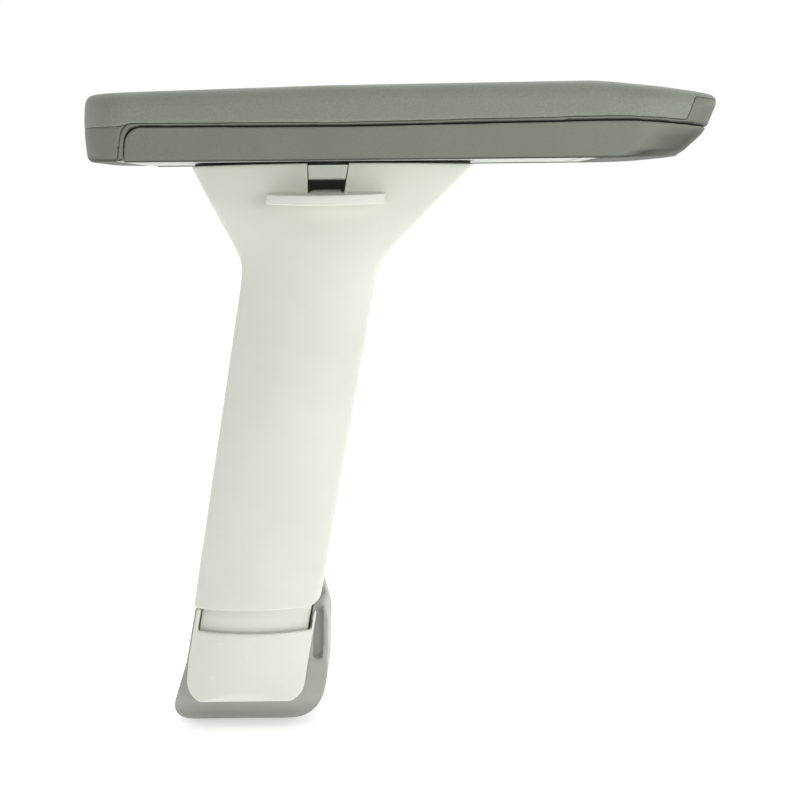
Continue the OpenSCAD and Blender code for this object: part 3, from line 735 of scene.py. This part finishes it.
def pad():
    """Cushion, tray and skirt, all cut from the same form so that their faces run on."""
    cushion = pad_body("arm_cushion")
    cut(cushion, cushion_region, "INTERSECT")
    soften(cushion, 0.65, 3)
    apply_modifiers(cushion)
    finish_piece(cushion, "pad", "pad_skin", "pad_cushion")

    tray = pad_body("arm_tray", 0.05)
    cut(tray, cushion_region, "DIFFERENCE")
    room = cutter("room", skirt_region(0.0), -200, 100)
    subtract(room, pad_body("core", SKIRT_T + FIT))
    subtract(tray, room)
    hollow = pad_body("hollow", SKIRT_T + TRAY_WALL)
    tray_floor = PAD_Z + TRAY_FLOOR
    cut(hollow, [(-80, tray_floor), (240, tray_floor), (240, TRAY_DECK), (-80, TRAY_DECK)], "INTERSECT")
    subtract(tray, hollow)
    subtract(tray, box_form("well", (WELL_REAR, DECK_Y - WELL_HALF, 200),
                            (WELL_FRONT, DECK_Y + WELL_HALF, TRAY_DECK)))
    seat = plan_form("seat", SKIRT_T + FIT, 200, PAD_Z + SEAT_DEPTH, SEAT_FRONT)
    cut(seat, [(SEAT_REAR, 190), (SEAT_REAR, 260), (160, 260), (160, 190)], "INTERSECT")
    subtract(tray, seat)
    rear = tray.copy()
    rear.data = tray.data.copy()
    bpy.context.scene.collection.objects.link(rear)
    cut(rear, rear_region, "INTERSECT")
    cut(tray, rear_region, "DIFFERENCE")
    for part in (tray, rear):
        soften(part, 0.65, 3)
        apply_modifiers(part)
    join(tray, rear)
    finish_piece(tray, "pad", "pad_shell", "pad_tray")

    skirt = pad_body("arm_skirt", 0.3, SKIRT_DROP)
    cut(skirt, skirt_region(0.5), "INTERSECT")
    subtract(skirt, pad_body("core", SKIRT_T))
    subtract(skirt, plan_form("below", SKIRT_T, PAD_Z - 5, PAD_Z + 6, 150.5))
    soften(skirt, 0.42, 5)
    apply_modifiers(skirt)
    finish_piece(skirt, "pad", "pad_shell", "pad_skirt")


# ---------- stage ----------

def floor():
    """A wide pale floor just under the bracket, whose glow fades towards the front."""
    size, level = 30.0, cad_low.z - 0.0005
    corners = [(-size, -size, level), (size, -size, level), (size, size, level), (-size, size, level)]
    mesh = bpy.data.meshes.new("floor")
    mesh.from_pydata(corners, [], [(0, 1, 2, 3)])
    obj = bpy.data.objects.new("floor", mesh)
    bpy.context.scene.collection.objects.link(obj)
    n = Nodes("floor", 0.9)
    n.link(n.blend(n.noise(4, 3), srgb(250, 250, 250), srgb(253, 253, 253)), n.shader.inputs["Base Color"])
    n.shader.inputs["Emission Color"].default_value = (1, 1, 1, 1)
    split = n.add("ShaderNodeSeparateXYZ")
    n.link(n.place, split.inputs["Vector"])
    n.link(n.spread(split.outputs["Y"], -0.7, -0.2, 0.0, 0.44), n.shader.inputs["Emission Strength"])
    mesh.materials.append(n.material)


def area_light(name, place, target, size, power):
    data = bpy.data.lights.new(name, "AREA")
    data.shape = "DISK"
    data.size = size
    data.energy = power
    obj = bpy.data.objects.new(name, data)
    bpy.context.scene.collection.objects.link(obj)
    obj.location = place
    obj.rotation_euler = (Vector(target) - Vector(place)).to_track_quat("-Z", "Y").to_euler()


def lights():
    """Two soft lights in front, one behind, and a bright room that is dimmer on the near side."""
    area_light("low", (0.5, -0.62, 0.26), (0.08, -0.12, 0.2), 0.35, 1.3)
    area_light("high", (0.0, -0.8, 0.95), (0.05, -0.12, 0.18), 0.45, 2.0)
    area_light("back", (0.2, 0.9, 1.3), (0.05, 0.3, 0.0), 1.2, 8)
    world = bpy.data.worlds.new("room")
    world.use_nodes = True
    tree = world.node_tree
    place = tree.nodes.new("ShaderNodeTexCoord").outputs["Generated"]
    split = tree.nodes.new("ShaderNodeSeparateXYZ")
    tree.links.new(place, split.inputs["Vector"])
    ramp = tree.nodes.new("ShaderNodeMapRange")
    ramp.interpolation_type = "SMOOTHSTEP"
    for key, number in (("From Min", -0.7), ("From Max", 0.4), ("To Min", 0.18), ("To Max", 1.0)):
        ramp.inputs[key].default_value = number
    tree.links.new(split.outputs["Y"], ramp.inputs["Value"])
    back = tree.nodes["Background"]
    back.inputs["Color"].default_value = (1, 1, 1, 1)
    tree.links.new(ramp.outputs["Result"], back.inputs["Strength"])
    bpy.context.scene.world = world
    bpy.context.scene.view_settings.view_transform = "Standard"


def camera():
    """Eye level with the pad's underside, looking along +Y and a little down."""
    data = bpy.data.cameras.new("camera")
    data.lens = 65
    data.sensor_width = 36
    obj = bpy.data.objects.new("camera", data)
    bpy.context.scene.collection.objects.link(obj)
    obj.location = (0.0693, -0.716, 0.2122)
    pitch, roll = math.radians(8.0), math.radians(-0.6)
    obj.rotation_euler = (math.pi / 2 - pitch, 0, 0)
    obj.rotation_euler.rotate_axis("Z", roll)
    bpy.context.scene.camera = obj


dress_frame()
upright()
pad()
floor()
lights()
camera()
